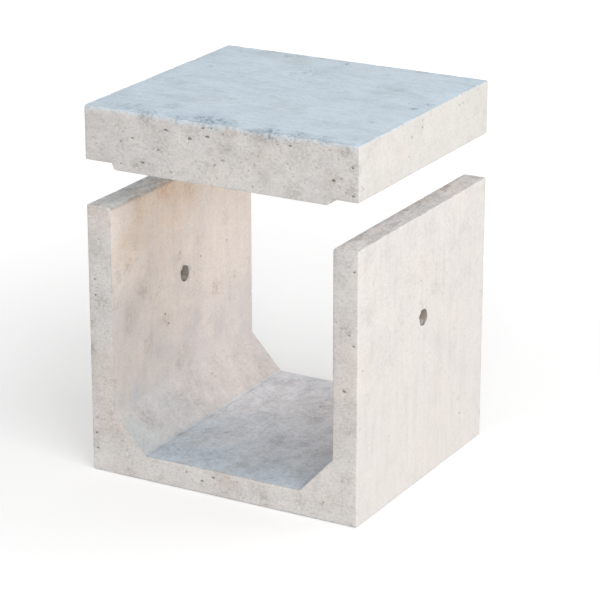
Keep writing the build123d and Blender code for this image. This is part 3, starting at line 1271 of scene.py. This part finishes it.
# %% [markdown]
# ## The cover's finish
# The cover is cast upside up, so its top was trowelled: a skin of fine cement, a little smoother than the
# rest, with drag marks and dark smudges near the front. It is painted blue-grey, as painted sky light. The
# skin and its painted sky light hang over the top arris in places. The ends and sides are sandy, and the long
# sides are painted paler, as painted light.

# %% Colours and marks of the cover
# Painted sky light: the trowelled top is painted blue-grey.
TROWELLED_AND_SKY_LIGHT = paint("CCDAE5")
TROWELLED_DEEP_AND_SKY_LIGHT = paint("B7C4CD")
# Painted light: the long sides of the cover are painted paler.
COVER_SIDE_PAINTED_LIGHT = paint("D4D0CB")
ROUGH_SIDE, ROUGH_TOP = 0.9, 0.72
FLECKS = (120, 0.9)
COVER_HAIRLINE = (-160, 664, 696)
TOP_TINT = (0.44, 0.5, 0.55)
FRONT_TINT = (0.66, 0.64, 0.62)
TOP_MARKS = on_face("z", 696, [
    (-42, -226, 34, 0.9), (-18, -230, 34, 1.0), (6, -226, 26, 0.8), (-83, -240, 24, 0.7),
    (-134, -182, 26, 0.5), (95, -246, 30, 0.8), (-200, -222, 30, 0.5), (-150, -238, 30, 0.7),
    (150, -238, 30, 0.7), (199, -236, 26, 0.7), (-55, 119, 10, 0.9), (-43, 134, 9, 0.9),
    (-42, 152, 8, 0.8), (-5, 228, 12, 0.9), (258, 45, 14, 1.0), (247, 9, 12, 0.9), (224, -109, 14, 0.6),
    (96, 187, 14, 0.5), (168, 105, 20, 0.4), (-20, 150, 40, 0.3), (150, -160, 44, 0.25),
    (-217, 90, 20, 0.4), (-130, 226, 14, 0.7),
])
FRONT_MARKS = on_face("y", -250, [
    (-166, 600, 18, 1.0), (-117, 652, 44, 0.5), (113, 690, 26, 0.8), (66, 690, 26, 0.8),
    (20, 690, 26, 0.6), (150, 599, 22, 0.8), (175, 692, 22, 0.7), (-140, 690, 22, 0.6),
    (250, 680, 18, 0.8), (266, 655, 18, 0.9), (262, 617, 18, 0.9), (-60, 676, 24, 0.5),
    (-199, 667, 26, 0.4), (24, 636, 34, 0.3), (161, 660, 34, 0.4), (225, 628, 26, 0.6),
])
print("cover marks:", len(TOP_MARKS) + len(FRONT_MARKS))

# %% [markdown]
# ## The cover's finish put together
# The order is the channel's. The trowelled skin, painted blue-grey as painted sky light, goes on by how far a
# face looks up, and its lower edge hangs a few millimetres down the ends, by noise.

# %% Finish of the cover
def cover_finish():
    """The cover's concrete: trowelled on top and painted blue-grey there as painted sky light, warm and sandy
    round the sides, which are painted paler as painted light.
    """
    mix = Recipe(bpy.data.materials.new("cover concrete"))
    faces = Faces(mix)
    # Painted light: the long sides are painted paler.
    mix.colour = mix.over(faces.side, MOULDED, COVER_SIDE_PAINTED_LIGHT)
    # Painted sky light: the top is painted blue-grey, and the paint hangs a few millimetres over the top
    # arris.
    hang = mix.rise(mix.cloud(34, 5.0, 0.75), 0.35, 0.75, 0.0, 10 * MM)
    skin_edge = mix.rise(mix.added(faces.z, hang), SLAB_TOP - 11 * MM, SLAB_TOP + 4 * MM)
    top = mix.either(faces.up, mix.times(skin_edge, faces.end, 0.7))
    sheen = mix.cloud(10, 5.0, 0.6, mix.stretched((1.0, 1.7, 1.0)), 0.8)
    mix.lay(top, mix.over(mix.rise(sheen, 0.45, 0.72, 0.0, 0.5), TROWELLED_AND_SKY_LIGHT, TROWELLED_DEEP_AND_SKY_LIGHT))
    quieter = mix.either(faces.side, top)
    pores = mottle(mix, mix.less(1.0, mix.times(quieter, 0.45)))
    drag = mix.cloud(90, 4.0, 0.7, mix.stretched((0.3, 1.0, 1.0)))
    sway(mix, drag, mix.times(faces.up, 0.6))
    # Pores on the top, darkened as painted shade.
    mix.tint(mix.times(pore_mask(mix, *FLECKS), top, 0.6), PORE_PAINTED_SHADE)
    smudge(mix, TOP_TINT, TOP_MARKS)
    smudge(mix, FRONT_TINT, FRONT_MARKS, turned(mix, mix.times(faces.y, -1.0)))
    hairline(mix, faces, *COVER_HAIRLINE)
    return finished(mix, pores, mix.rise(faces.up, 0.0, 1.0, ROUGH_SIDE, ROUGH_TOP))


cover.data.materials.append(cover_finish())
print("cover nodes:", len(cover.active_material.node_tree.nodes))

# %% [markdown]
# ## Floor and light
# A plain pale floor carries the object's shadow. The world gives an even white light, plain white where
# it is seen directly. The background is white by the colour of the floor and the world, not by more
# light on the object.

# %% Floor and world
FLOOR_HALF = 14.0
FLOOR_PAINT = (0.86, 0.86, 0.86, 1)
FLOOR_LIFT_NEAR, FLOOR_LIFT_FAR = 0.2, 0.42
LIFT_FROM, LIFT_TO = 0.5, 2.4
WHITE = (1, 1, 1, 1)
WORLD_LIGHT = 0.62


def seen_directly(mix):
    """1 for rays from the camera, and for those that a gloss or a glass sends on, 0 for lighting."""
    rays = mix.node("LightPath", {}).node.outputs
    seen = mix.either(rays["Is Camera Ray"], rays["Is Glossy Ray"])
    return mix.either(seen, rays["Is Transmission Ray"])


def make_floor():
    """A wide white floor that shows the object's shadow near it, and is lifted to white further off."""
    mesh = bpy.data.meshes.new("floor")
    corners = [(x * FLOOR_HALF, y * FLOOR_HALF, 0) for x, y in ((-1, -1), (1, -1), (1, 1), (-1, 1))]
    mesh.from_pydata(corners, [], [(0, 1, 2, 3)])
    floor = bpy.data.objects.new("floor", mesh)
    bpy.context.scene.collection.objects.link(floor)
    mix = Recipe(bpy.data.materials.new("floor white"))
    matte = mix.node("BsdfDiffuse", {"Color": FLOOR_PAINT})
    away = mix.away_from(mix.place, (0.0, 0.0, 0.0))
    lifting = mix.rise(away, LIFT_FROM, LIFT_TO, FLOOR_LIFT_NEAR, FLOOR_LIFT_FAR)
    strength = mix.times(seen_directly(mix), lifting)
    lift = mix.node("Emission", {"Color": WHITE, "Strength": strength})
    mix.node("OutputMaterial", {"Surface": mix.node("AddShader", {0: matte, 1: lift})})
    floor.data.materials.append(mix.owner)


def make_world():
    """Even white light all round, and plain white where the world is seen directly."""
    mix = Recipe(bpy.data.worlds.new("studio"))
    light = mix.node("Background", {"Color": WHITE, "Strength": WORLD_LIGHT})
    white = mix.node("Background", {"Color": WHITE, "Strength": 1.0})
    mixed = mix.node("MixShader", {0: seen_directly(mix), 1: light, 2: white})
    mix.node("OutputWorld", {"Surface": mixed})
    bpy.context.scene.world = mix.owner


make_floor()
make_world()
print("world light", WORLD_LIGHT)

# %% [markdown]
# ## Lamps
# Three large soft lamps shape the object. The key lamp stands high on the right, and makes the long
# side the brightest face. The fill lamp stands low at the front, and looks into the waterway. The rear
# lamp, low at the back right, lights the waterway from its other end. Each is given the level of light
# that it brings to a surface that faces it, where 1 alone would render a colour as it is written. The
# power that this takes grows with the square of the distance.

# %% Lamps
MIDDLE = Vector((0, 0, 0.35))
LAMP_DISTANCE = 7.0


def direction(azimuth, elevation):
    """The way from the object to a place, azimuth from the front towards the right, in degrees."""
    around, up = math.radians(azimuth), math.radians(elevation)
    return Vector((math.sin(around) * math.cos(up), -math.cos(around) * math.cos(up), math.sin(up)))


def make_lamp(name, azimuth, elevation, size, level):
    """A large soft square lamp that points at the middle of the object."""
    data = bpy.data.lights.new(name, "AREA")
    data.shape = "SQUARE"
    data.size = size
    data.energy = level * (math.pi * LAMP_DISTANCE) ** 2
    lamp = bpy.data.objects.new(name, data)
    lamp.location = MIDDLE + direction(azimuth, elevation) * LAMP_DISTANCE
    lamp.rotation_euler = direction(azimuth, elevation).to_track_quat("Z", "Y").to_euler()
    bpy.context.scene.collection.objects.link(lamp)
    print(name, round(data.energy), "watts")


make_lamp("key lamp", azimuth=63, elevation=48, size=3.6, level=0.28)
make_lamp("fill lamp", azimuth=34, elevation=14, size=3.2, level=0.37)
make_lamp("rear lamp", azimuth=125, elevation=12, size=3.2, level=0.2)

# %% [markdown]
# ## Camera
# The camera looks from the front right and a little above, with a long lens, so that the verticals
# stay nearly parallel. Its place comes from an azimuth, an elevation and a distance, because those say
# more to a reader than three coordinates.

# %% Camera
AIM = Vector((0.0211, 0.0012, 0.3037))
AZIMUTH = 29.2
ELEVATION = 19.36
DISTANCE = 4.865
LENS = 159.1

backwards = direction(AZIMUTH, ELEVATION)
camera_data = bpy.data.cameras.new("camera")
camera_data.lens = LENS
camera = bpy.data.objects.new("camera", camera_data)
camera.location = AIM + backwards * DISTANCE
camera.rotation_euler = backwards.to_track_quat("Z", "Y").to_euler()
bpy.context.scene.collection.objects.link(camera)
bpy.context.scene.camera = camera
bpy.context.scene.view_settings.view_transform = "Standard"
print("camera at", [round(value, 3) for value in camera.location])
